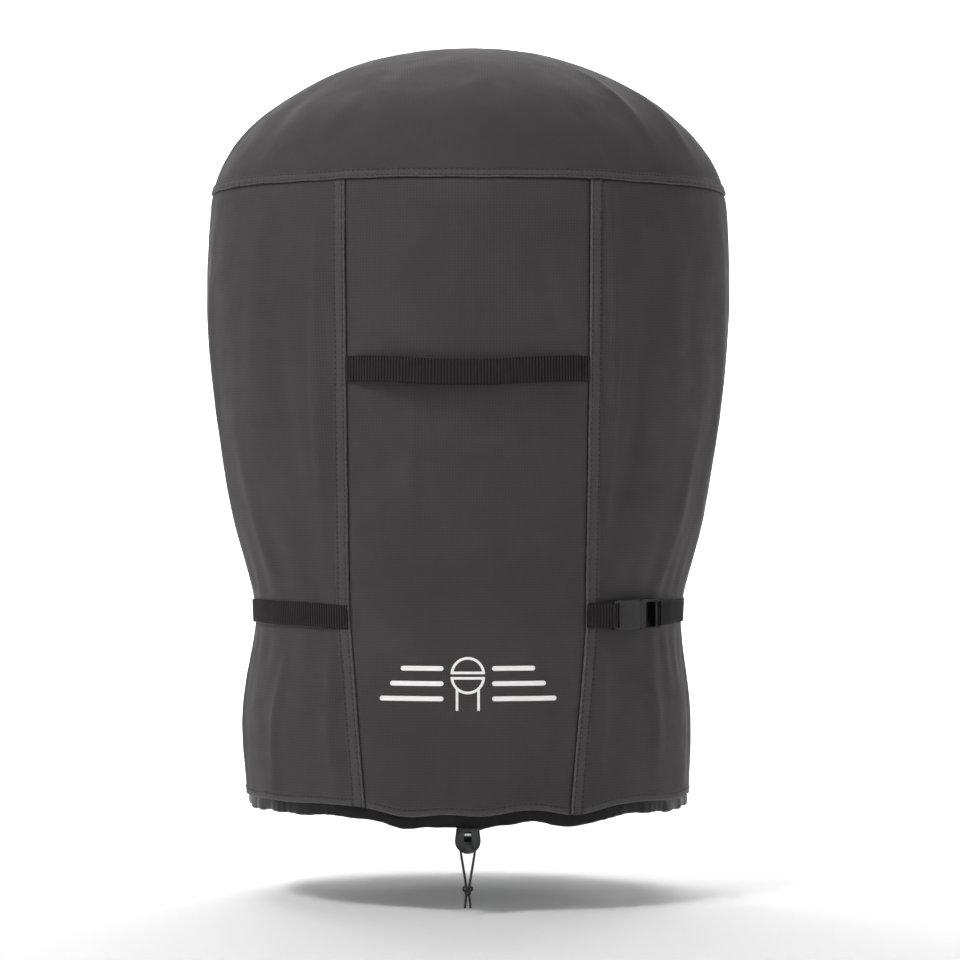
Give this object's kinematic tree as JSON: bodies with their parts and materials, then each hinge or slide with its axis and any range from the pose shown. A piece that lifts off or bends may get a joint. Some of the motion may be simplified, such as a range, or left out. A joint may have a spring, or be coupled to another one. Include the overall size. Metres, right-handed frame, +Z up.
{
  "type": "grill cover",
  "caption": "Fitted fabric cover for a round kettle grill: domed crown, panelled skirt, webbing carry handles, buckled waist belt and a drawcord hem with a cord lock.",
  "frame": {"origin": "inside of the crown's apex, where the grill's lid carries the cover", "axes": "+Z up through the apex, the front with the emblem and the cord lock faces -Y, +X towards the buckle's side"},
  "size_m": [0.678, 0.704, 1.0845],
  "materials": {
    "cover_fabric": "matte",
    "casing_fabric": "matte",
    "webbing": "matte",
    "drawcord": "matte",
    "fittings": "satin",
    "roller": "satin",
    "print_ink": "matte"
  },
  "bodies": {
    "cover": {"crown_panel": "cover_fabric", "front_panel": "cover_fabric", "rear_panel": "cover_fabric", "left_panel": "cover_fabric", "right_panel": "cover_fabric", "crown_seam": "cover_fabric", "seam_front_left": "cover_fabric", "seam_front_right": "cover_fabric", "seam_rear_left": "cover_fabric", "seam_rear_right": "cover_fabric", "hem_casing": "casing_fabric", "drawcord_ring": "drawcord", "drawcord_lead_left": "drawcord", "drawcord_lead_right": "drawcord", "drawcord_left": "drawcord", "drawcord_right": "drawcord", "drawcord_knot": "drawcord", "cord_lock_body": "fittings", "front_tab_left": "webbing", "front_tab_right": "webbing", "rear_tab_left": "webbing", "rear_tab_right": "webbing", "waist_belt": "webbing", "socket_strap": "webbing", "belt_keeper_left": "webbing", "belt_keeper_right": "webbing", "buckle_socket": "fittings", "printed_emblem": "print_ink"},
    "front_handle": {"front_handle": "webbing"},
    "rear_handle": {"rear_handle": "webbing"},
    "latch": {"buckle_latch": "fittings", "belt_tail": "webbing"},
    "prong_upper": {"latch_prong_upper": "fittings"},
    "prong_lower": {"latch_prong_lower": "fittings"},
    "roller": {"cord_lock_roller": "roller"}
  },
  "joints": [
    {"name": "front_handle_lift", "type": "hinge", "parent": "cover", "child": "front_handle", "pos_m": [0, -0.30646, -0.4055], "axis": [-1, 0, 0], "range_deg": [0, 30]},
    {"name": "rear_handle_lift", "type": "hinge", "parent": "cover", "child": "rear_handle", "pos_m": [0, 0.30646, -0.4055], "axis": [1, 0, 0], "range_deg": [0, 30]},
    {"name": "latch_release", "type": "slide", "parent": "cover", "child": "latch", "axis": [0.6756, 0.7373, 0], "range_m": [0, 0.03]},
    {"name": "prong_upper_squeeze", "type": "hinge", "parent": "latch", "child": "prong_upper", "pos_m": [0.20989, -0.19681, -0.7144], "axis": [0.7373, -0.6756, 0], "range_deg": [0, 17]},
    {"name": "prong_lower_squeeze", "type": "hinge", "parent": "latch", "child": "prong_lower", "pos_m": [0.20989, -0.19681, -0.7366], "axis": [-0.7373, 0.6756, 0], "range_deg": [0, 17]},
    {"name": "roller_release", "type": "slide", "parent": "cover", "child": "roller", "axis": [0, 0, -1], "range_m": [0, 0.0055]}
  ],
  "couplings": [
    {"joint": "prong_upper_squeeze", "follows": "latch_release", "rad_per_m": 9.8},
    {"joint": "prong_lower_squeeze", "follows": "latch_release", "rad_per_m": 9.8}
  ]
}
